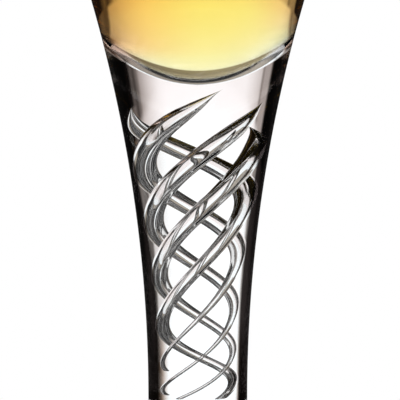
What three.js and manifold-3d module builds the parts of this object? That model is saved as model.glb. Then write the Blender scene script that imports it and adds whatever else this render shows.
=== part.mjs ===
// Air-twist whisky glass: a trumpet bowl on a thick cased stem that traps four spiralling
// threads of air, an applied foot, and a poured measure of whisky.
// Millimetres, +Z up. The foot rests on z = 0 and the axis of the glass is Z.
// Seen from -Y, angles around the axis start at the front and grow towards +X.
import * as THREE from 'three';
import { mergeVertices } from 'three/addons/utils/BufferGeometryUtils.js';
import Module from 'manifold-3d';

// Foot
const footDiameter = 58;
const footHeight = 12;
const footEdgeThickness = 2.6;
const footEdgeRounding = 1.1;
const footFlareDrop = 6.6;
const footFlareReach = 5.2;
const footPlateRise = 1.4;
const restRingInset = 1.5;
const restRingWidth = 3.5;
const kickDepth = 1.6;

// Stem
const stemDiameter = 15.9;
const stemLength = 49.8;
const trumpetSweepRadius = 232.5;

// Bowl
const bowlDepth = 50.8;
const bowlFloorThickness = 2.4;
const bowlFloorSteepness = 1.18;
const bowlWall = 2.05;
const rimWall = 1.6;
const seatDepth = 8.5;
const seatLandWidth = 2.07;

// Air twist
const threadFootRadius = 3.75;
const threadTopRadius = 8.0;
const threadStraightLength = 8;
const threadWidths = [3.75, 3.75, 3.75, 2.9];
const threadFlatness = 1.08;
const threadThinWidth = 0.5;
const threadTaperLengths = [41, 41, 41, 60];
const threadTipLength = 3.2;
const threadTipDrops = [1.4, 3.6, 7.4, 4.5];
const threadFrontDrop = 3.7;
const coreCover = 0.8;
const twistPitch = 36.7;
const footExtraTurn = 114;
const footTwistFade = 6.1;
const topExtraTurn = 12;
const topTwistFade = 1.5;

// Whisky
const fillDepth = 33.8;

// Fits
const clearance = 0.3;

// Fineness of the facets
const turnFacets = 40;
const seatSteps = 8;
const bowlWallSteps = 8;
const cavitySteps = 16;
const lipSteps = 4;
const stemSteps = 12;
const rodSteps = 10;
const kickSteps = 5;
const footEdgeSteps = 3;
const footFlareSteps = 8;
const fillSteps = 12;
const threadSides = 6;
const threadSteps = 36;

// Heights that stack up from the foot
const stemRadius = stemDiameter / 2;
const undersideHeight = footHeight + stemLength;
const floorHeight = undersideHeight + bowlFloorThickness;
const landHeight = undersideHeight + seatDepth;
const rimHeight = floorHeight + bowlDepth;
const fillHeight = floorHeight + fillDepth;

// The seat is a paraboloid that reaches the flat land all round the top of the stem
const seatRadius = trumpetRadius(landHeight) - seatLandWidth;
const seatCurve = seatDepth / (seatRadius * seatRadius);
const threadTopHeight = undersideHeight + seatCurve * threadTopRadius ** 2 - clearance;
const threadFrontHeight = threadTopHeight - threadFrontDrop;
const threadNumbers = threadTipDrops.map((_, number) => number);

const wasm = await Module();
wasm.setup();

// Outline of the glass above the foot: one long circular sweep, upright where it leaves the foot
function trumpetRadius(height) {
  const rise = height - footHeight;
  return stemRadius + trumpetSweepRadius - Math.sqrt(trumpetSweepRadius ** 2 - rise ** 2);
}

// Inside of the bowl: a floor steeper than the seat until it meets the wall, then the wall
function cavityRadius(height) {
  const share = (height - floorHeight) / bowlDepth;
  const wall = bowlWall + (rimWall - bowlWall) * share;
  const floorRadius = Math.sqrt((height - floorHeight) / (seatCurve * bowlFloorSteepness));
  return Math.min(floorRadius, trumpetRadius(height) - wall);
}

// Circle on which the four threads run: straight near the foot, then opening with the stem
function threadCircle(height) {
  const start = footHeight + threadStraightLength;
  const share = THREE.MathUtils.clamp((height - start) / (threadTopHeight - start), 0, 1);
  return threadFootRadius + (threadTopRadius - threadFootRadius) * share ** 2;
}

// Turn of the twist in degrees, with thread 1 at the front at threadFrontHeight
function twistAngle(height) {
  const total = (z) => (360 * z) / twistPitch
    - footExtraTurn * Math.exp((footHeight - z) / footTwistFade)
    + topExtraTurn * Math.exp((z - threadTopHeight) / topTwistFade);
  return total(height) - total(threadFrontHeight);
}

// Turn per millimetre of height, in radians
function twistSlope(height) {
  const low = (footExtraTurn / footTwistFade) * Math.exp((footHeight - height) / footTwistFade);
  const high = (topExtraTurn / topTwistFade) * Math.exp((height - threadTopHeight) / topTwistFade);
  return THREE.MathUtils.degToRad(360 / twistPitch + low + high);
}

function threadTip(number) {
  return threadTopHeight - threadTipDrops[number];
}

// Half of a thread's width: a drawn-out point, then an even taper down to a hair-thin tail
function threadHalf(number, height) {
  const depth = Math.max(threadTip(number) - height, 0);
  const point = 1 - Math.exp(-((depth / threadTipLength) ** 1.6));
  const left = Math.max(1 - depth / threadTaperLengths[number], 0);
  return (point * THREE.MathUtils.lerp(threadThinWidth, threadWidths[number], left)) / 2;
}

// Outside of the twist rod: it covers the deepest thread at each height
function coreRadius(height) {
  const halves = threadNumbers.map((number) => threadHalf(number, height));
  return threadCircle(height) + Math.max(...halves) * threadFlatness + coreCover;
}

// Points of a line of the section, count steps from one place to the other
function sweepPoints(count, place) {
  return Array.from({ length: count + 1 }, (_, i) => place(i / count));
}

// A section line moved sideways by a distance, to the left of its direction of travel
function offsetLine(points, distance) {
  return points.map((point, i) => {
    const before = points[Math.max(i - 1, 0)];
    const after = points[Math.min(i + 1, points.length - 1)];
    const along = after.clone().sub(before).normalize();
    if (point.x === 0) along.set(Math.sign(along.x), 0);
    return new THREE.Vector2(point.x - along.y * distance, point.y + along.x * distance);
  });
}

// Merges shared corners and drops the triangles that close to a line at the axis
function weld(geometry) {
  geometry.deleteAttribute('normal');
  geometry.deleteAttribute('uv');
  const welded = mergeVertices(geometry);
  const corners = welded.index.array;
  const kept = [];
  for (let i = 0; i < corners.length; i += 3) {
    const [a, b, c] = corners.slice(i, i + 3);
    if (a !== b && b !== c && c !== a) kept.push(a, b, c);
  }
  welded.setIndex(kept);
  welded.computeVertexNormals();
  return welded;
}

// A section turned round the axis of the glass
function turned(points) {
  const geometry = new THREE.LatheGeometry(points, turnFacets);
  geometry.rotateX(Math.PI / 2);
  return weld(geometry);
}

function toSolid(geometry) {
  return new wasm.Manifold(new wasm.Mesh({
    numProp: 3,
    vertProperties: Float32Array.from(geometry.attributes.position.array),
    triVerts: Uint32Array.from(geometry.index.array),
  }));
}

function toGeometry(solid) {
  const mesh = solid.getMesh();
  const geometry = new THREE.BufferGeometry();
  geometry.setAttribute('position', new THREE.BufferAttribute(mesh.vertProperties, 3));
  geometry.setIndex(new THREE.BufferAttribute(mesh.triVerts, 1));
  geometry.computeVertexNormals();
  return geometry;
}

function cut(geometry, cutters) {
  const whole = toSolid(geometry);
  return toGeometry(cutters.reduce((rest, cutter) => rest.subtract(toSolid(cutter)), whole));
}

// Height along a thread for a share of its steps, which crowd together at both ends
function threadHeight(share, low, high) {
  const crowding = 0.6;
  const eased = share + crowding * (share ** 2 * (3 - 2 * share) - share);
  return low + (high - low) * eased;
}

// One spiral thread: a cone whose rings are laid level along the helix
function spiral(number, grow, low, overTip) {
  const tip = threadTip(number);
  const geometry = new THREE.ConeGeometry(1, 1, threadSides, threadSteps);
  const position = geometry.attributes.position;
  for (let i = 0; i < position.count; i += 1) {
    const share = position.getY(i) + 0.5;
    const ringRadius = 1 - share;
    const across = ringRadius > 0 ? position.getX(i) / ringRadius : 0;
    const outward = ringRadius > 0 ? position.getZ(i) / ringRadius : 0;
    const height = threadHeight(share, low, tip + overTip);
    const half = threadHalf(number, height);
    const halfDepth = half * threadFlatness + grow;
    const halfWidth = half + grow;
    const circle = threadCircle(height);
    const slant = Math.hypot(1, circle * twistSlope(height));
    const place = (number * 2 * Math.PI) / threadNumbers.length;
    const angle = THREE.MathUtils.degToRad(twistAngle(height)) + place
      + (across * halfWidth * slant) / circle;
    const radius = circle + outward * halfDepth;
    position.setXYZ(i, radius * Math.sin(angle), -radius * Math.cos(angle), height);
  }
  return weld(geometry);
}

// Channel for a thread, opened past the foot joint
function threadChannel(number) {
  return spiral(number, clearance, footHeight - 4 * clearance, 2 * clearance);
}

// Underside of the bowl and the matching dish of the stem
function seatLine() {
  return sweepPoints(seatSteps, (share) => new THREE.Vector2(
    seatRadius * share,
    undersideHeight + seatCurve * (seatRadius * share) ** 2,
  ));
}

// Inside of the bowl from the axis up to a height
function cavityLine(steps, top) {
  return sweepPoints(steps, (share) => {
    const height = floorHeight + (top - floorHeight) * share ** 2;
    return new THREE.Vector2(cavityRadius(height), height);
  });
}

// Outside of the glass between two heights
function trumpetLine(steps, low, high) {
  return sweepPoints(steps, (share) => {
    const height = low + (high - low) * share;
    return new THREE.Vector2(trumpetRadius(height), height);
  });
}

function bowlShape() {
  const lipRadius = rimWall / 2;
  const lipHeight = rimHeight - lipRadius;
  const lipMiddle = trumpetRadius(lipHeight) - lipRadius;
  const lip = sweepPoints(lipSteps, (share) => new THREE.Vector2(
    lipMiddle + lipRadius * Math.cos(Math.PI * share),
    lipHeight + lipRadius * Math.sin(Math.PI * share),
  ));
  const outside = trumpetLine(bowlWallSteps, landHeight, lipHeight).slice(0, -1);
  const inside = cavityLine(cavitySteps, lipHeight).slice(0, -1).reverse();
  return turned([...seatLine(), ...outside, ...lip, ...inside]);
}

// Dish under the bowl, the clearance below the underside
function dishLine() {
  return offsetLine(seatLine(), -clearance);
}

// Height of the dish at a radius inside the seat
function dishHeight(radius) {
  const line = dishLine();
  const outer = line.findIndex((point) => point.x >= radius);
  const [a, b] = [line[outer - 1], line[outer]];
  return THREE.MathUtils.mapLinear(radius, a.x, b.x, a.y, b.y);
}

// Side of the twist rod, or of the bore around it, from the foot joint to the dish
function rodLine(gap) {
  const top = dishHeight(threadTopRadius + coreCover + gap);
  return sweepPoints(rodSteps, (share) => {
    const height = footHeight + (top - footHeight) * share;
    return new THREE.Vector2(coreRadius(height) + gap, height);
  });
}

function coreShape() {
  const side = rodLine(0);
  const edge = side[side.length - 1];
  const dish = dishLine().filter((point) => point.x < edge.x - clearance).reverse();
  const rod = turned([new THREE.Vector2(0, footHeight), ...side, ...dish]);
  return cut(rod, threadNumbers.map(threadChannel));
}

function casingShape() {
  const bore = rodLine(clearance).reverse();
  const dish = dishLine().filter((point) => point.x > bore[0].x + clearance).reverse();
  const landEdge = new THREE.Vector2(dish[0].x, landHeight);
  const outside = trumpetLine(stemSteps, footHeight, landHeight);
  return turned([...outside, landEdge, ...dish, ...bore, outside[0]]);
}

function footShape() {
  const radius = footDiameter / 2;
  const ringOuter = radius - restRingInset;
  const ringInner = ringOuter - restRingWidth;
  const kick = sweepPoints(kickSteps, (share) => new THREE.Vector2(
    ringInner * share,
    kickDepth * (1 - share ** 2),
  ));
  const edgeMiddle = new THREE.Vector2(radius - footEdgeRounding, footEdgeThickness - footEdgeRounding);
  const edge = sweepPoints(footEdgeSteps, (share) => new THREE.Vector2(
    edgeMiddle.x + footEdgeRounding * Math.sin(Math.PI / 2 * (1 - share)),
    edgeMiddle.y + footEdgeRounding * Math.cos(Math.PI / 2 * (1 - share)),
  ));
  const flare = new THREE.CubicBezierCurve(
    edge[edge.length - 1],
    new THREE.Vector2(stemRadius + footFlareReach, footEdgeThickness + footPlateRise),
    new THREE.Vector2(stemRadius, footHeight - footFlareDrop),
    new THREE.Vector2(stemRadius, footHeight),
  ).getPoints(footFlareSteps).slice(1);
  const ring = new THREE.Vector2(ringOuter, 0);
  return turned([...kick, ring, ...edge, ...flare, new THREE.Vector2(0, footHeight)]);
}

function whiskyShape() {
  const line = offsetLine(cavityLine(fillSteps, fillHeight), clearance);
  line[line.length - 1].y = fillHeight;
  return turned([...line, new THREE.Vector2(0, fillHeight)]);
}

const glassFinish = { color: 0xf1f5f4, roughness: 0.03, metalness: 0 };
const airFinish = { color: 0xffffff, roughness: 0.05, metalness: 0 };
const whiskyFinish = { color: 0xefb955, roughness: 0.02, metalness: 0 };

const glass = new THREE.Group();

function addPiece(name, geometry, finish) {
  const piece = new THREE.Mesh(geometry, new THREE.MeshStandardMaterial(finish));
  piece.name = name;
  glass.add(piece);
}

addPiece('foot', footShape(), glassFinish);
addPiece('stem_casing', casingShape(), glassFinish);
addPiece('twist_core', coreShape(), glassFinish);
threadNumbers.forEach((number) => {
  addPiece(`air_thread_${number + 1}`, spiral(number, 0, footHeight, 0), airFinish);
});
addPiece('bowl', bowlShape(), glassFinish);
addPiece('whisky', whiskyShape(), whiskyFinish);

export default glass;
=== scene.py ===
import math

import bmesh
import bpy
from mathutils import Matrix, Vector


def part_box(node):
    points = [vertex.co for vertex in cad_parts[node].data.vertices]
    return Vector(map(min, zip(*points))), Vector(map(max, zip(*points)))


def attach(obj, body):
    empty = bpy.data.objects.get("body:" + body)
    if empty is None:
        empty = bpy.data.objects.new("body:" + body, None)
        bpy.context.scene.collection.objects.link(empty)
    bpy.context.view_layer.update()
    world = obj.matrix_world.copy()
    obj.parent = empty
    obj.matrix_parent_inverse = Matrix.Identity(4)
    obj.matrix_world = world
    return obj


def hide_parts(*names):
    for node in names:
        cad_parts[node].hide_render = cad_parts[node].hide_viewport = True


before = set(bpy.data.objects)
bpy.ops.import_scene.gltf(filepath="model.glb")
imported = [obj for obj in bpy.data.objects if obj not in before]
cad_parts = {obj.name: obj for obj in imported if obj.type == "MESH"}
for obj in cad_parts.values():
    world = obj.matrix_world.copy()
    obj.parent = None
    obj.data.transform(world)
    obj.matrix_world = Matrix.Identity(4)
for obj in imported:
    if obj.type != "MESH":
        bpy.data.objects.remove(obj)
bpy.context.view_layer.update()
print("frame loaded:", ", ".join(sorted(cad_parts)))

mm = 0.001
plainWhite = (1.0, 1.0, 1.0, 1.0)
turnSteps = 144  # facets of a full turn of the lathe pieces
weldGap = 0.001 * mm
smoothAngle = math.radians(50)


# shader maths

class Value:
    # wraps a socket, so that sums of sockets read as sums
    def __init__(self, build, socket):
        self.build = build
        self.socket = socket

    def maths(self, operation, first, second=0.0):
        return self.build.node("ShaderNodeMath", {"operation": operation}, {0: first, 1: second})

    def __add__(self, other):
        return self.maths("ADD", self, other)

    def __sub__(self, other):
        return self.maths("SUBTRACT", self, other)

    def __rsub__(self, other):
        return self.maths("SUBTRACT", other, self)

    def __mul__(self, other):
        return self.maths("MULTIPLY", self, other)

    def __rmul__(self, other):
        return self.maths("MULTIPLY", other, self)

    def __truediv__(self, other):
        return self.maths("DIVIDE", self, other)

    def __abs__(self):
        return self.maths("ABSOLUTE", self)

    def atLeast(self, other):
        return self.maths("MAXIMUM", self, other)

    def step(self, low, high):
        # 0 below low and 1 above high, smooth between them
        return self.build.node(
            "ShaderNodeMapRange", {"interpolation_type": "SMOOTHSTEP"},
            {"Value": self, "From Min": low, "From Max": high})


class Build:
    # adds nodes to one tree
    def __init__(self, tree):
        self.tree = tree
        tree.nodes.clear()

    def node(self, kind, settings=None, sockets=None, output=0):
        made = self.tree.nodes.new(kind)
        for name, setting in (settings or {}).items():
            if name == "stops":
                self.setStops(made.color_ramp, setting)
            else:
                setattr(made, name, setting)
        for name, value in (sockets or {}).items():
            if isinstance(value, Value):
                self.tree.links.new(value.socket, made.inputs[name])
            else:
                made.inputs[name].default_value = value
        return Value(self, made.outputs[output])

    def mix(self, share, first, second, blend="MIX"):
        return self.node(
            "ShaderNodeMix", {"data_type": "RGBA", "blend_type": blend},
            {"Factor": share, 6: first, 7: second}, output=2)

    def axis(self, vector, number):
        return self.node("ShaderNodeSeparateXYZ", sockets={0: vector}, output=number)

    def lightPath(self, name):
        return self.node("ShaderNodeLightPath", output=name)

    def setStops(self, ramp, stops):
        while len(ramp.elements) < len(stops):
            ramp.elements.new(1.0)
        for element, (place, colour) in zip(ramp.elements, stops):
            element.position = place
            element.color = colour

    def finish(self, kind, sockets):
        made = self.tree.nodes.new(kind)
        for name, value in sockets.items():
            self.tree.links.new(value.socket, made.inputs[name])


def newMaterial(name):
    material = bpy.data.materials.new(name)
    material.use_nodes = True
    return material, Build(material.node_tree)


clearGlassLook = {
    "colour": (0.996, 0.998, 0.997, 1.0),
    # edge is painted shade, near-black, put on the glass where it is seen at a flat angle; narrowing,
    # leftSide, openTop and topFade shape where that painted band lies
    "edge": (0.004, 0.003, 0.003, 1.0),
    "ior": 1.5,
    "wettedIor": 1.314,  # against the liquid only the ratio of the two indices counts, 1.5 to 1.37
    "narrowing": (26 * mm, 58 * mm),
    "leftSide": (-3 * mm, 3 * mm),
    "openTop": (58.2 * mm, 60.2 * mm),
    "cord": (0.982, 0.987, 0.984, 1.0),
    "cordScale": 160.0,
    "cordEdge": (0.5, 0.75),
    "topFade": 1.5 * mm,
}


def cords(build, place):
    # faint streaks of denser glass
    look = clearGlassLook
    streak = build.node("ShaderNodeTexNoise", sockets={
        "Vector": place, "Scale": look["cordScale"], "Detail": 2.0, "Distortion": 1.5})
    return build.mix(streak.step(*look["cordEdge"]), look["colour"], look["cord"])


def makeGlassWithPaintedShade(name, paintedBands):
    # the glass is painted near-black where it is seen at a flat angle: painted shade for the dark
    # surroundings its sides show, wider low on the stem and at the left
    look = clearGlassLook
    material, build = newMaterial(name)
    facing = build.node("ShaderNodeLayerWeight", sockets={"Blend": 0.5}, output=1)
    place = build.node("ShaderNodeTexCoord", output=3)
    x, height = build.axis(place, 0), build.axis(place, 2)
    high = height.step(*look["narrowing"])
    left = 1 - x.step(*look["leftSide"])
    crown = height.step(*look["openTop"])
    wider = (1 - high) * (left * paintedBands["left"] + paintedBands["low"])
    wider = wider + left * (crown * paintedBands["crown"] - high * (1 - crown) * paintedBands["open"])
    below = 1 - height.step(paintedBands["top"], paintedBands["top"] + look["topFade"])
    # painted shade: the glass turns near-black where it is seen at a flat angle
    paintedEdgeShade = (facing + wider).step(*paintedBands["band"]) * below
    glass = build.node("ShaderNodeBsdfPrincipled", sockets={
        "Base Color": build.mix(paintedEdgeShade, cords(build, place), look["edge"]),
        "Roughness": 0.0,
        "IOR": look["ior"],
        "Transmission Weight": 1.0,
    })
    build.finish("ShaderNodeOutputMaterial", {"Surface": glass})
    return material


def makeInnerGlass(name, ior):
    # a face of the glass that looks into air or liquid
    material, build = newMaterial(name)
    place = build.node("ShaderNodeTexCoord", output=3)
    glass = build.node("ShaderNodeBsdfPrincipled", sockets={
        "Base Color": cords(build, place),
        "Roughness": 0.0,
        "IOR": ior,
        "Transmission Weight": 1.0,
    })
    build.finish("ShaderNodeOutputMaterial", {"Surface": glass})
    return material


def makeFusedJoint():
    # two hot-fused faces: light crosses them as if they weren't there
    material, build = newMaterial("fusedJoint")
    clear = build.node("ShaderNodeBsdfTransparent", sockets={"Color": plainWhite})
    build.finish("ShaderNodeOutputMaterial", {"Surface": clear})
    return material


whiskyLook = {
    "ior": 1.2,
    "absorbed": (0.995, 0.868, 0.016, 1.0),
    "density": 62.0,
    "cool": plainWhite,
    # painted light: warm tints on the upper left and upper right of the liquid, for how the light falls
    # through it
    "paintedWarmLeft": (1.0, 0.67, 0.52, 1.0),
    "leftSide": (-11 * mm, 1.5 * mm),
    "leftRise": (66.2 * mm, 69.5 * mm),
    "paintedWarmRight": (1.0, 0.68, 0.76, 1.0),
    "rightSide": (6.5 * mm, 14 * mm),
    "rightRise": (70.5 * mm, 74 * mm),
}


def makeWhisky():
    look = whiskyLook
    material, build = newMaterial("amberWhisky")
    place = build.node("ShaderNodeTexCoord", output=3)
    x, height = build.axis(place, 0), build.axis(place, 2)
    # painted light: the liquid is tinted warmer at its upper left and upper right
    left = (1 - x.step(*look["leftSide"])) * height.step(*look["leftRise"])
    right = x.step(*look["rightSide"]) * height.step(*look["rightRise"])
    paintedTint = build.mix(left, look["cool"], look["paintedWarmLeft"])
    paintedTint = build.mix(right, paintedTint, look["paintedWarmRight"])
    liquid = build.node("ShaderNodeBsdfPrincipled", sockets={
        "Base Color": paintedTint,
        "Roughness": 0.0,
        "IOR": look["ior"],
        "Transmission Weight": 1.0,
    })
    depth = build.node("ShaderNodeVolumeAbsorption", sockets={
        "Color": look["absorbed"],
        "Density": look["density"],
    })
    build.finish("ShaderNodeOutputMaterial", {"Surface": liquid, "Volume": depth})
    return material


# bands of painted shade at the sides of the foot, bowl and stem, by how flat the glass is seen, widened and
# ended by height and side on the stem
footPaintedShade = {"band": (0.9, 1.0), "top": 200 * mm, "low": 0.0, "left": 0.0, "open": 0.0, "crown": 0.0}
bowlPaintedShade = {**footPaintedShade, "band": (0.78, 0.9)}
stemPaintedShade = {
    "band": (0.45, 0.53),
    "top": 66.8 * mm,
    "low": 0.08,  # the painted shade at the sides is wider low down
    "left": 0.035,  # and wider still at the left
    "open": 0.13,  # but open beside the upper threads
    "crown": 0.095,  # and wider again above the threads
}
stemGlass = makeGlassWithPaintedShade("stemGlass", stemPaintedShade)
bowlGlass = makeGlassWithPaintedShade("bowlGlass", bowlPaintedShade)
footGlass = makeGlassWithPaintedShade("footGlass", footPaintedShade)
airGlass = makeInnerGlass("airGlass", clearGlassLook["ior"])
wettedGlass = makeInnerGlass("wettedGlass", clearGlassLook["wettedIor"])
fusedJoint = makeFusedJoint()
amberWhisky = makeWhisky()
print("materials made")


# lathe work

def startLine(name, first):
    # a lone point in the XZ plane, ready to be extruded into a section
    bpy.ops.object.select_all(action="DESELECT")
    bpy.ops.mesh.primitive_plane_add(size=mm, location=(0, 0, 0))
    piece = bpy.context.object
    piece.name = name
    piece.data.name = name
    bpy.ops.object.mode_set(mode="EDIT")
    bpy.ops.mesh.select_all(action="SELECT")
    bpy.ops.mesh.merge(type="CENTER")
    bpy.ops.transform.translate(value=(first[0], 0, first[1]))
    return piece


def turnPiece(name, points):
    # extrudes the section point by point, then spins it round the axis of the glass
    piece = startLine(name, points[0])
    for before, after in zip(points, points[1:]):
        stride = (after[0] - before[0], 0, after[1] - before[1])
        bpy.ops.mesh.extrude_region_move(TRANSFORM_OT_translate={"value": stride})
    bpy.ops.mesh.select_all(action="SELECT")
    bpy.ops.mesh.spin(steps=turnSteps, angle=2 * math.pi, center=(0, 0, 0), axis=(0, 0, 1))
    bpy.ops.mesh.select_all(action="SELECT")
    bpy.ops.mesh.remove_doubles(threshold=weldGap)
    bpy.ops.mesh.normals_make_consistent(inside=False)
    bpy.ops.object.mode_set(mode="OBJECT")
    bpy.ops.object.shade_smooth_by_angle(angle=smoothAngle)
    return piece


def sweep(count, place):
    return [place(i / count) for i in range(count + 1)]


def dress(piece, materials):
    piece.data.materials.clear()
    for material in materials:
        piece.data.materials.append(material)


def setFaces(piece, isMeant, slot):
    # gives another of the piece's materials to the faces that the test picks
    for face in piece.data.polygons:
        centre = face.center
        if isMeant(math.hypot(centre.x, centre.y), centre.z):
            face.material_index = slot


# outline of the glass, from the frame's heights

trumpet = {
    "stemRadius": 7.95 * mm,
    "sweepRadius": 232.5 * mm,
    "footTop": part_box("foot")[1].z,
    "land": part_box("stem_casing")[1].z,
    "rim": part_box("bowl")[1].z,
}


def trumpetRadius(height):
    rise = height - trumpet["footTop"]
    sweepRadius = trumpet["sweepRadius"]
    return trumpet["stemRadius"] + sweepRadius - math.sqrt(sweepRadius ** 2 - rise ** 2)


def trumpetLine(count, low, high):
    def place(share):
        height = low + (high - low) * share
        return trumpetRadius(height), height
    return sweep(count, place)


# bowl and the liquid's edge in it

fillSizes = {
    "surface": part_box("whisky")[1].z,
    "wetting": 0.05 * mm,  # the liquid wets the glass, so it reaches just into the wall
    "meniscus": 0.7 * mm,
    "meniscusFade": 1.2 * mm,
    "surfaceSteps": 28,
}
wettedHeight = fillSizes["surface"] + fillSizes["meniscus"]
bowlSizes = {
    "underside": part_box("bowl")[0].z,
    "floorThickness": 2.2 * mm,
    "floorSteepness": 1.18,  # against the seat under it
    "landWidth": 2.07 * mm,
    "wall": 1.35 * mm,
    "rimWall": 1.6 * mm,
    "bend": 0.9 * mm,  # rounds the inside where the floor runs into the wall
    "seatSteps": 24,
    "outsideSteps": 40,
    "lipSteps": 10,
    "cavitySteps": 48,
    "drySteps": 12,
}
# how near a surface the centre of a face has to lie to count as a part of it
nearness = {
    "dish": 0.3 * mm,
    "flat": 0.01 * mm,
    "wall": 0.2 * mm,
    "floorMiddle": 1.5 * mm,
    "floorDrop": 0.1 * mm,
}
floorHeight = bowlSizes["underside"] + bowlSizes["floorThickness"]
seatRadius = trumpetRadius(trumpet["land"]) - bowlSizes["landWidth"]
seatCurve = (trumpet["land"] - bowlSizes["underside"]) / seatRadius ** 2


def seatLine():
    def place(share):
        radius = seatRadius * share
        return radius, bowlSizes["underside"] + seatCurve * radius ** 2
    return sweep(bowlSizes["seatSteps"], place)


def cavityRadius(height):
    share = (height - floorHeight) / (trumpet["rim"] - floorHeight)
    wall = bowlSizes["wall"] + (bowlSizes["rimWall"] - bowlSizes["wall"]) * share
    floorRadius = math.sqrt(max(height - floorHeight, 0) / (seatCurve * bowlSizes["floorSteepness"]))
    wallRadius = trumpetRadius(height) - wall
    bend = bowlSizes["bend"]
    return -bend * math.log(math.exp(-floorRadius / bend) + math.exp(-wallRadius / bend))


def wettedLine():
    def place(share):
        height = floorHeight + (wettedHeight - floorHeight) * share ** 2
        return cavityRadius(height), height
    return sweep(bowlSizes["cavitySteps"], place)


def isSeat(radius, height):
    onDish = abs(height - bowlSizes["underside"] - seatCurve * radius ** 2) < nearness["dish"]
    onLand = abs(height - trumpet["land"]) < nearness["flat"]
    return onLand or (onDish and radius < seatRadius)


def isWetted(radius, height):
    onWall = abs(radius - cavityRadius(height)) < nearness["wall"]
    inside = onWall or radius < nearness["floorMiddle"]
    return inside and floorHeight - nearness["floorDrop"] < height < wettedHeight


def makeBowl():
    lipRadius = bowlSizes["rimWall"] / 2
    lipHeight = trumpet["rim"] - lipRadius
    lipMiddle = trumpetRadius(lipHeight) - lipRadius

    def lipPlace(share):
        angle = math.pi * share
        return lipMiddle + lipRadius * math.cos(angle), lipHeight + lipRadius * math.sin(angle)

    def dryPlace(share):
        height = wettedHeight + (lipHeight - wettedHeight) * share
        return cavityRadius(height), height

    outside = trumpetLine(bowlSizes["outsideSteps"], trumpet["land"], lipHeight)[:-1]
    lip = sweep(bowlSizes["lipSteps"], lipPlace)
    inside = wettedLine() + sweep(bowlSizes["drySteps"], dryPlace)[1:-1]
    piece = turnPiece("bowl", seatLine() + outside + lip + inside[::-1])
    dress(piece, [bowlGlass, fusedJoint, wettedGlass])
    setFaces(piece, isSeat, 1)
    setFaces(piece, isWetted, 2)
    return piece


# stem with its four threads of trapped air

threadSizes = {
    "footRadius": 3.75 * mm,
    "topRadius": 8.0 * mm,
    "straightLength": 8 * mm,
    "widths": [3.75 * mm, 3.75 * mm, 3.75 * mm, 2.9 * mm],
    "flatness": 1.08,
    "thinWidth": 0.5 * mm,
    "tipLength": 3.2 * mm,
    "tipPower": 1.6,
    "frontDrop": 3.7 * mm,
    "tipDrops": [1.4 * mm, 3.6 * mm, 7.4 * mm, 4.5 * mm],
    "taperLengths": [41 * mm, 41 * mm, 41 * mm, 60 * mm],
    "tails": [16.4 * mm, 12.4 * mm, 12.4 * mm, 12.4 * mm],
    "sides": 14,
    "rings": 90,
    "crowding": 0.6,  # the rings lie closer together at both ends
    "seatGap": 0.3 * mm,
    "smoothing": 2,
}
stemSteps = 64
twist = {
    "pitch": 36.7 * mm,
    "footTurn": math.radians(114),
    "footFade": 6.1 * mm,
    "topTurn": math.radians(12),
    "topFade": 1.5 * mm,
}
threadTop = bowlSizes["underside"] + seatCurve * threadSizes["topRadius"] ** 2 - threadSizes["seatGap"]


def threadCircle(height):
    start = trumpet["footTop"] + threadSizes["straightLength"]
    share = min(max((height - start) / (threadTop - start), 0), 1)
    return threadSizes["footRadius"] + (threadSizes["topRadius"] - threadSizes["footRadius"]) * share ** 2


def rawTurn(height):
    steady = 2 * math.pi * height / twist["pitch"]
    foot = twist["footTurn"] * math.exp((trumpet["footTop"] - height) / twist["footFade"])
    top = twist["topTurn"] * math.exp((height - threadTop) / twist["topFade"])
    return steady - foot + top


def twistAngle(height):
    return rawTurn(height) - rawTurn(threadTop - threadSizes["frontDrop"])


def twistSlope(height):
    step = 0.01 * mm
    return (rawTurn(height + step) - rawTurn(height - step)) / (2 * step)


def threadHalf(number, height):
    # a drawn-out point, then an even taper down to a hair-thin tail
    depth = max(threadTop - threadSizes["tipDrops"][number] - height, 0)
    point = 1 - math.exp(-(depth / threadSizes["tipLength"]) ** threadSizes["tipPower"])
    left = max(1 - depth / threadSizes["taperLengths"][number], 0)
    thin = threadSizes["thinWidth"]
    return point * (thin + (threadSizes["widths"][number] - thin) * left) / 2


def threadRings(number):
    # height, distance from the axis, half width round the axis and half depth of each ring
    tip = threadTop - threadSizes["tipDrops"][number]
    low = threadSizes["tails"][number]
    rings = []
    for i in range(threadSizes["rings"]):
        share = i / threadSizes["rings"]
        eased = share + threadSizes["crowding"] * (share ** 2 * (3 - 2 * share) - share)
        height = low + (tip - low) * eased
        circle = threadCircle(height)
        slant = math.hypot(1, circle * twistSlope(height))
        half = threadHalf(number, height)
        rings.append((height, circle, half * slant, half * threadSizes["flatness"]))
    return tip, rings


def turnRing(mesh, height, angle):
    # turns the ring at one height round the axis, as the twisting of the hot rod does
    for vertex in mesh.verts:
        vertex.select_set(abs(vertex.co.z - height) < weldGap)
    mesh.select_flush_mode()
    bpy.ops.transform.rotate(value=-angle, orient_axis="Z", center_override=(0, 0, 0))


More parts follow.
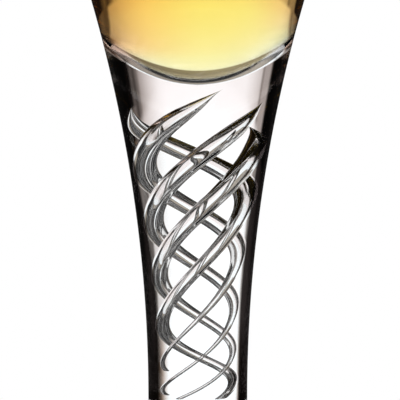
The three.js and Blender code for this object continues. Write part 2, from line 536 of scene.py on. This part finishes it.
def makeThread(number):
    # an upright teardrop in front of the axis, ring by ring, then twisted
    tip, rings = threadRings(number)
    height, circle, halfWidth, halfDepth = rings[0]
    bpy.ops.object.select_all(action="DESELECT")
    bpy.ops.mesh.primitive_circle_add(
        vertices=threadSizes["sides"], radius=1, fill_type="NGON", location=(0, 0, 0))
    piece = bpy.context.object
    piece.name = "airThread%d" % (number + 1)
    bpy.ops.object.mode_set(mode="EDIT")
    bpy.ops.mesh.select_all(action="SELECT")
    bpy.ops.transform.resize(value=(halfWidth, halfDepth, 1))
    bpy.ops.transform.translate(value=(0, -circle, height))
    for after in rings[1:]:
        stride = (0, circle - after[1], after[0] - height)
        bpy.ops.mesh.extrude_region_move(TRANSFORM_OT_translate={"value": stride})
        bpy.ops.transform.resize(
            value=(after[2] / halfWidth, after[3] / halfDepth, 1),
            center_override=(0, -after[1], after[0]))
        height, circle, halfWidth, halfDepth = after
    stride = (0, circle - threadCircle(tip), tip - height)
    bpy.ops.mesh.extrude_region_move(TRANSFORM_OT_translate={"value": stride})
    bpy.ops.mesh.merge(type="CENTER")
    mesh = bmesh.from_edit_mesh(piece.data)
    quarter = number * math.pi / 2
    for ringHeight in [ring[0] for ring in rings] + [tip]:
        turnRing(mesh, ringHeight, twistAngle(ringHeight) + quarter)
    bpy.ops.mesh.select_all(action="SELECT")
    bpy.ops.mesh.normals_make_consistent(inside=True)  # the shell faces into the air
    bpy.ops.object.mode_set(mode="OBJECT")
    smooth = piece.modifiers.new("smooth", "SUBSURF")
    smooth.levels = threadSizes["smoothing"]
    smooth.render_levels = threadSizes["smoothing"]
    bpy.ops.object.modifier_apply(modifier="smooth")
    bpy.ops.object.shade_smooth()
    return piece


def isStemJoint(radius, height):
    return isFootJoint(radius, height) or isSeat(radius, height)


def makeStem():
    outside = trumpetLine(stemSteps, trumpet["footTop"], trumpet["land"])
    piece = turnPiece("stem", [(0, trumpet["footTop"])] + outside + seatLine()[::-1])
    dress(piece, [stemGlass, fusedJoint])
    setFaces(piece, isStemJoint, 1)
    threads = [makeThread(number) for number in range(4)]
    for thread in threads:
        dress(thread, [airGlass])
    bpy.ops.object.select_all(action="DESELECT")
    for thread in threads:
        thread.select_set(True)
    piece.select_set(True)
    bpy.context.view_layer.objects.active = piece
    bpy.ops.object.join()
    return piece


# foot

footSizes = {
    "radius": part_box("foot")[1].x,
    "edgeThickness": 2.6 * mm,
    "edgeRounding": 1.1 * mm,
    "flareDrop": 6.6 * mm,
    "flareReach": 5.2 * mm,
    "plateRise": 1.4 * mm,
    "ringInset": 1.5 * mm,
    "ringWidth": 3.5 * mm,
    "kickDepth": 1.6 * mm,
    "kickSteps": 20,
    "edgeSteps": 8,
    "flareSteps": 40,
}


def bezier(points, share):
    a, b, c, d = [Vector(point) for point in points]
    rest = 1 - share
    return tuple(a * rest ** 3 + b * 3 * rest ** 2 * share + c * 3 * rest * share ** 2 + d * share ** 3)


def isFootJoint(radius, height):
    return abs(height - trumpet["footTop"]) < nearness["flat"]


def makeFoot():
    sizes = footSizes
    ringOuter = sizes["radius"] - sizes["ringInset"]
    ringInner = ringOuter - sizes["ringWidth"]
    rounding = sizes["edgeRounding"]
    edgeMiddle = (sizes["radius"] - rounding, sizes["edgeThickness"] - rounding)
    stemRadius, top = trumpet["stemRadius"], trumpet["footTop"]

    def kickPlace(share):
        return ringInner * share, sizes["kickDepth"] * (1 - share ** 2)

    def edgePlace(share):
        angle = math.pi / 2 * share
        return edgeMiddle[0] + rounding * math.cos(angle), edgeMiddle[1] + rounding * math.sin(angle)

    flare = [
        (edgeMiddle[0], sizes["edgeThickness"]),
        (stemRadius + sizes["flareReach"], sizes["edgeThickness"] + sizes["plateRise"]),
        (stemRadius, top - sizes["flareDrop"]),
        (stemRadius, top),
    ]
    under = sweep(sizes["kickSteps"], kickPlace) + [(ringOuter, 0)]
    edge = sweep(sizes["edgeSteps"], edgePlace)
    upper = sweep(sizes["flareSteps"], lambda share: bezier(flare, share))[1:]
    piece = turnPiece("foot", under + edge + upper + [(0, top)])
    dress(piece, [footGlass, fusedJoint])
    setFaces(piece, isFootJoint, 1)
    return piece


# whisky

def makeFill():
    sizes = fillSizes
    line = [(radius + sizes["wetting"], height) for radius, height in wettedLine()]
    line[0] = (0, floorHeight - sizes["wetting"])
    edge = line[-1][0]

    def surfacePlace(share):
        radius = edge * (1 - share ** 2)
        rise = sizes["meniscus"] * math.exp((radius - edge) / sizes["meniscusFade"])
        return radius, sizes["surface"] + rise

    piece = turnPiece("whisky", line + sweep(sizes["surfaceSteps"], surfacePlace)[1:])
    dress(piece, [amberWhisky])
    return piece


bowl = makeBowl()
print("bowl turned:", len(bowl.data.polygons), "faces")
stem = makeStem()
print("stem turned and twisted:", len(stem.data.polygons), "faces")
foot = makeFoot()
print("foot turned:", len(foot.data.polygons), "faces")
fill = makeFill()
print("whisky poured:", len(fill.data.polygons), "faces")

for piece, nodes, slot in (
    (bowl, ["bowl"], "clear_glass"),
    (stem, ["stem_casing", "twist_core"] + ["air_thread_%d" % n for n in (1, 2, 3, 4)], "clear_glass"),
    (foot, ["foot"], "clear_glass"),
    (fill, ["whisky"], "whisky"),
):
    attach(piece, "root")
    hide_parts(*nodes)


# camera

cameraPlace = {
    "target": Vector((0, 0, 44 * mm)),
    "distance": 700 * mm,
    "elevation": math.radians(7),
    "frameWidth": 64 * mm,
    "sensor": 36.0,
    "axisShift": 2.2 / 400,  # the glass stands this share of the frame left of its middle
    "clip": (0.01, 20),
}


def makeCamera():
    place = cameraPlace
    data = bpy.data.cameras.new("camera")
    camera = bpy.data.objects.new("camera", data)
    bpy.context.scene.collection.objects.link(camera)
    elevation = place["elevation"]
    back = Vector((0, -math.cos(elevation), math.sin(elevation)))
    camera.location = place["target"] + back * place["distance"]
    camera.rotation_euler = (math.pi / 2 - elevation, 0, 0)
    data.sensor_width = place["sensor"]
    data.lens = place["sensor"] * place["distance"] / place["frameWidth"]
    data.shift_x = place["axisShift"]
    data.clip_start, data.clip_end = place["clip"]
    bpy.context.scene.camera = camera


# studio

studio = {
    # levels of the backdrop and the flags beside it, by degrees sideways from straight behind
    "lowBackdrop": [
        (-90, 0.3), (-66, 0.06), (-50, 0.03), (-46, 0.1), (-43, 0.5), (-40, 0.95), (-37, 1.15), (20, 1.15),
        (26, 1.05), (30, 0.75), (33, 0.42), (36, 0.15), (39, 0.06), (50, 0.03), (66, 0.06), (90, 0.3)],
    "midBackdrop": [
        (-90, 0.3), (-62, 0.1), (-55, 0.3), (-49, 0.4), (-46, 0.45), (-43, 0.3), (-41, 0.6), (-39, 1.05),
        (-33, 1.2), (-26, 1.15), (15, 1.15), (20, 1.06), (24, 0.95), (30, 0.77), (35.6, 0.68), (37.8, 0.2),
        (39, 0.13), (42, 0.13), (46, 0.2), (51, 0.2), (60, 0.02), (90, 0.02)],
    "highBackdrop": [
        (-90, 0.2), (-60, 0.004), (-47, 0.004), (-44, 0.45), (-38.5, 0.45), (-36.7, 0.26), (-35, 0.72),
        (-30, 0.9), (-24, 1.08), (18, 1.08), (24, 0.8), (31, 0.44), (33, 0.2), (36, 0.06), (39.5, 0.17),
        (44, 0.05), (47, 0.004), (60, 0.004), (90, 0.01)],
    "shade": (1.0, 0.86, 0.78),  # the dim parts are brownish
    "lowShade": (1.0, 0.68, 0.48),
    "highTint": (0.96, 0.89, 0.88, 1.0),
    # edges in degrees up from the horizon
    "midEdge": (-7, -3.5),
    "highEdge": (7.8, 9.2),
    "tintEdge": (4, 8),
    "backdropTop": (22, 30),
    "towerTop": (40, 52),  # the middle of the backdrop stands higher
    "towerSide": (20, 28),
    "backdropFoot": (-15.8, -14.2),
    "behindEdge": (68, 82),
    "roomMiddle": (-0.25, 0.25),  # in shares of the way to the right
    "beltLeft": (0.72, 0.72, 0.72, 1.0),
    "beltRight": (0.03, 0.03, 0.03, 1.0),
    "beltFront": (0.85, 0.85, 0.85, 1.0),
    "beltEdge": (11, 18),
    "upperWall": (0.02, 0.02, 0.02, 1.0),
    "upperFront": (0.03, 0.03, 0.03, 1.0),
    "ceiling": (0.006, 0.006, 0.006, 1.0),
    "ceilingEdge": (46, 56),
    "groundLeft": (0.04, 0.04, 0.04, 1.0),
    "groundRight": (0.03, 0.03, 0.03, 1.0),
    "groundFront": (0.045, 0.045, 0.045, 1.0),
    "frontEdge": (74, 88),
    "frontDrop": 13.0,  # the belt reaches this much lower in front
    "dropRight": (110, 128),
    "dropLeft": (150, 175),
    "groundBehindLeft": (0.42, 0.37, 0.31, 1.0),
    "groundBehindRight": (0.3, 0.26, 0.22, 1.0),
    "groundMiddle": (-10, 10),
    "groundFade": (-46, -36),
    "groundSide": (19, 31),
    "groundNear": (0.03, 0.03, 0.03, 1.0),
    "groundNearEdge": (-56, -40),
    "mirrored": (0.012, 0.012, 0.012, 1.0),  # all that the outer faces reflect
}


def levelStops(levels, shade):
    # grey stops over half a turn, brownish where they are dim
    stops = []
    for angle, level in levels:
        colour = [level * (shade[i] + (1 - shade[i]) * level) for i in range(3)]
        stops.append(((angle + 90) / 180, (*colour, 1.0)))
    return stops


def makeWorld():
    world = bpy.data.worlds.new("studio")
    bpy.context.scene.world = world
    world.use_nodes = True
    build = Build(world.node_tree)
    way = build.node("ShaderNodeTexCoord", output=0)
    x, y, z = [build.axis(way, number) for number in range(3)]
    mix = build.mix
    degrees = 180 / math.pi
    side = build.node("ShaderNodeMath", {"operation": "ARCTAN2"}, {0: x, 1: y}) * degrees
    rise = build.node("ShaderNodeMath", {"operation": "ARCSINE"}, {0: z}) * degrees

    def ramp(levels, shade):
        stops = levelStops(studio[levels], studio[shade])
        return build.node("ShaderNodeValToRGB", {"stops": stops}, {0: (side + 90) / 180})

    # the room round the glass: a belt of wall, bright in front and at the left, between dim wall and ground
    front = abs(side).step(*studio["frontEdge"])
    belt = mix(x.step(*studio["roomMiddle"]), studio["beltLeft"], studio["beltRight"])
    belt = mix(front, belt, studio["beltFront"])
    upperWall = mix(front, studio["upperWall"], studio["upperFront"])
    room = mix(rise.step(*studio["beltEdge"]), belt, upperWall)
    room = mix(rise.step(*studio["ceilingEdge"]), room, studio["ceiling"])
    floorSide = mix(x.step(*studio["roomMiddle"]), studio["groundLeft"], studio["groundRight"])
    floorSide = mix(front, floorSide, studio["groundFront"])
    drop = side.step(*studio["dropRight"]) + (-1 * side).step(*studio["dropLeft"])
    room = mix((-1 * rise - drop * studio["frontDrop"]).step(*studio["beltEdge"]), room, floorSide)
    # the backdrop with its flags stands behind the glass, its middle part higher than the rest
    backdrop = ramp("lowBackdrop", "lowShade")
    backdrop = mix(rise.step(*studio["midEdge"]), backdrop, ramp("midBackdrop", "shade"))
    backdrop = mix(rise.step(*studio["highEdge"]), backdrop, ramp("highBackdrop", "shade"))
    backdrop = mix(rise.step(*studio["tintEdge"]), backdrop, studio["highTint"], "MULTIPLY")
    tower = (1 - abs(side).step(*studio["towerSide"])) * (1 - rise.step(*studio["towerTop"]))
    upright = (1 - rise.step(*studio["backdropTop"])).atLeast(tower)
    behind = 1 - abs(side).step(*studio["behindEdge"])
    backdrop = mix(upright, room, backdrop)
    ground = mix(
        side.step(*studio["groundMiddle"]), studio["groundBehindLeft"], studio["groundBehindRight"])
    ground = mix(abs(side).step(*studio["groundSide"]), ground, studio["groundNear"])
    ground = mix(rise.step(*studio["groundFade"]), studio["groundNear"], ground)
    backdrop = mix(rise.step(*studio["backdropFoot"]), ground, backdrop)
    through = mix(behind, room, backdrop)
    through = mix(rise.step(*studio["groundNearEdge"]), studio["groundNear"], through)

    seen = mix(build.lightPath("Is Glossy Ray"), plainWhite, studio["mirrored"])
    seen = mix(build.lightPath("Is Transmission Ray"), seen, through)
    light = build.node("ShaderNodeBackground", sockets={"Color": seen, "Strength": 1.0})
    build.finish("ShaderNodeOutputWorld", {"Surface": light})


# floor and lamp

floorSizes = {
    "drop": 0.05 * mm,
    "padRadius": 31 * mm,  # the part under the foot, which the glass shows
    "sides": 96,
    "reach": 3.0,
    "pale": (0.9, 0.9, 0.895, 1.0),
    "grain": 0.02,
    "grainScale": 900.0,
    "fade": (46 * mm, 64 * mm),  # from shaded floor to plain white
    "underFoot": (3 * mm, 7 * mm),
    # level of the painted glow on the floor where it is seen through the foot
    "underFootGlowLevel": 0.66,
    "straightTurns": (2.2, 2.8),  # light that crosses the foot alone turns twice
}
lampSizes = {
    "place": (-0.35, -0.45, 0.95),
    "size": 0.7,
    "watts": 1.4,
}


def makePaleFloor():
    # keeps the shadow near the glass, and is plain white for the camera further out
    material, build = newMaterial("paleFloor")
    place = build.node("ShaderNodeTexCoord", output=3)
    x, y = build.axis(place, 0), build.axis(place, 1)
    radius = build.node("ShaderNodeMath", {"operation": "POWER"}, {0: x * x + y * y, 1: 0.5})
    grain = build.node("ShaderNodeTexNoise", sockets={
        "Vector": place, "Scale": floorSizes["grainScale"], "Detail": 3.0})
    colour = build.mix(floorSizes["grain"], floorSizes["pale"], grain, "MULTIPLY")
    matt = build.node("ShaderNodeBsdfPrincipled", sockets={"Base Color": colour, "Roughness": 0.9})
    white = build.node("ShaderNodeEmission", sockets={"Color": plainWhite, "Strength": 1.0})
    far = radius.step(*floorSizes["fade"]) * build.lightPath("Is Camera Ray")
    shown = build.node("ShaderNodeMixShader", sockets={0: far, 1: matt, 2: white})
    # painted light: where the eye looks straight down through the foot, the floor glows at a pale level in
    # place of the glass's shade
    paintedUnderFootGlow = build.node("ShaderNodeEmission", sockets={
        "Color": colour, "Strength": floorSizes["underFootGlowLevel"]})
    close = 1 - build.lightPath("Ray Length").step(*floorSizes["underFoot"])
    straight = 1 - build.lightPath("Ray Depth").step(*floorSizes["straightTurns"])
    near = close * straight * build.lightPath("Is Transmission Ray")
    shown = build.node("ShaderNodeMixShader", sockets={0: near, 1: shown, 2: paintedUnderFootGlow})
    build.finish("ShaderNodeOutputMaterial", {"Surface": shown})
    return material


def makeFloor():
    paleFloor = makePaleFloor()
    sides, padRadius = floorSizes["sides"], floorSizes["padRadius"]
    bpy.ops.object.select_all(action="DESELECT")
    bpy.ops.mesh.primitive_circle_add(
        vertices=sides, radius=padRadius, fill_type="NGON", location=(0, 0, 0))
    pad = bpy.context.object
    pad.name = "floorPad"
    bpy.ops.object.select_all(action="DESELECT")
    bpy.ops.mesh.primitive_circle_add(
        vertices=sides, radius=padRadius, fill_type="NOTHING", location=(0, 0, 0))
    ring = bpy.context.object
    ring.name = "floorRing"
    bpy.ops.object.mode_set(mode="EDIT")
    bpy.ops.mesh.select_all(action="SELECT")
    wide = floorSizes["reach"] / padRadius
    bpy.ops.mesh.extrude_edges_move()
    bpy.ops.transform.resize(value=(wide, wide, 1))
    bpy.ops.mesh.select_all(action="SELECT")
    bpy.ops.mesh.normals_make_consistent(inside=False)
    bpy.ops.object.mode_set(mode="OBJECT")
    for piece in (pad, ring):
        dress(piece, [paleFloor])
        piece.location.z = -floorSizes["drop"]
    # light from beyond the pad reaches the glass from the studio alone
    ring.visible_transmission = False
    ring.visible_glossy = False


def makeLamp():
    data = bpy.data.lights.new("softbox", "AREA")
    data.shape = "DISK"
    data.size = lampSizes["size"]
    data.energy = lampSizes["watts"]
    lamp = bpy.data.objects.new("softbox", data)
    bpy.context.scene.collection.objects.link(lamp)
    lamp.location = lampSizes["place"]
    lamp.rotation_euler = (-Vector(lampSizes["place"])).to_track_quat("-Z", "Y").to_euler()
    lamp.visible_camera = False
    lamp.visible_glossy = False
    lamp.visible_transmission = False


makeCamera()
makeWorld()
makeFloor()
makeLamp()
print("studio set up")

settings = bpy.context.scene
settings.view_settings.view_transform = "Standard"
settings.cycles.max_bounces = 32
settings.cycles.transmission_bounces = 32
settings.cycles.transparent_max_bounces = 64
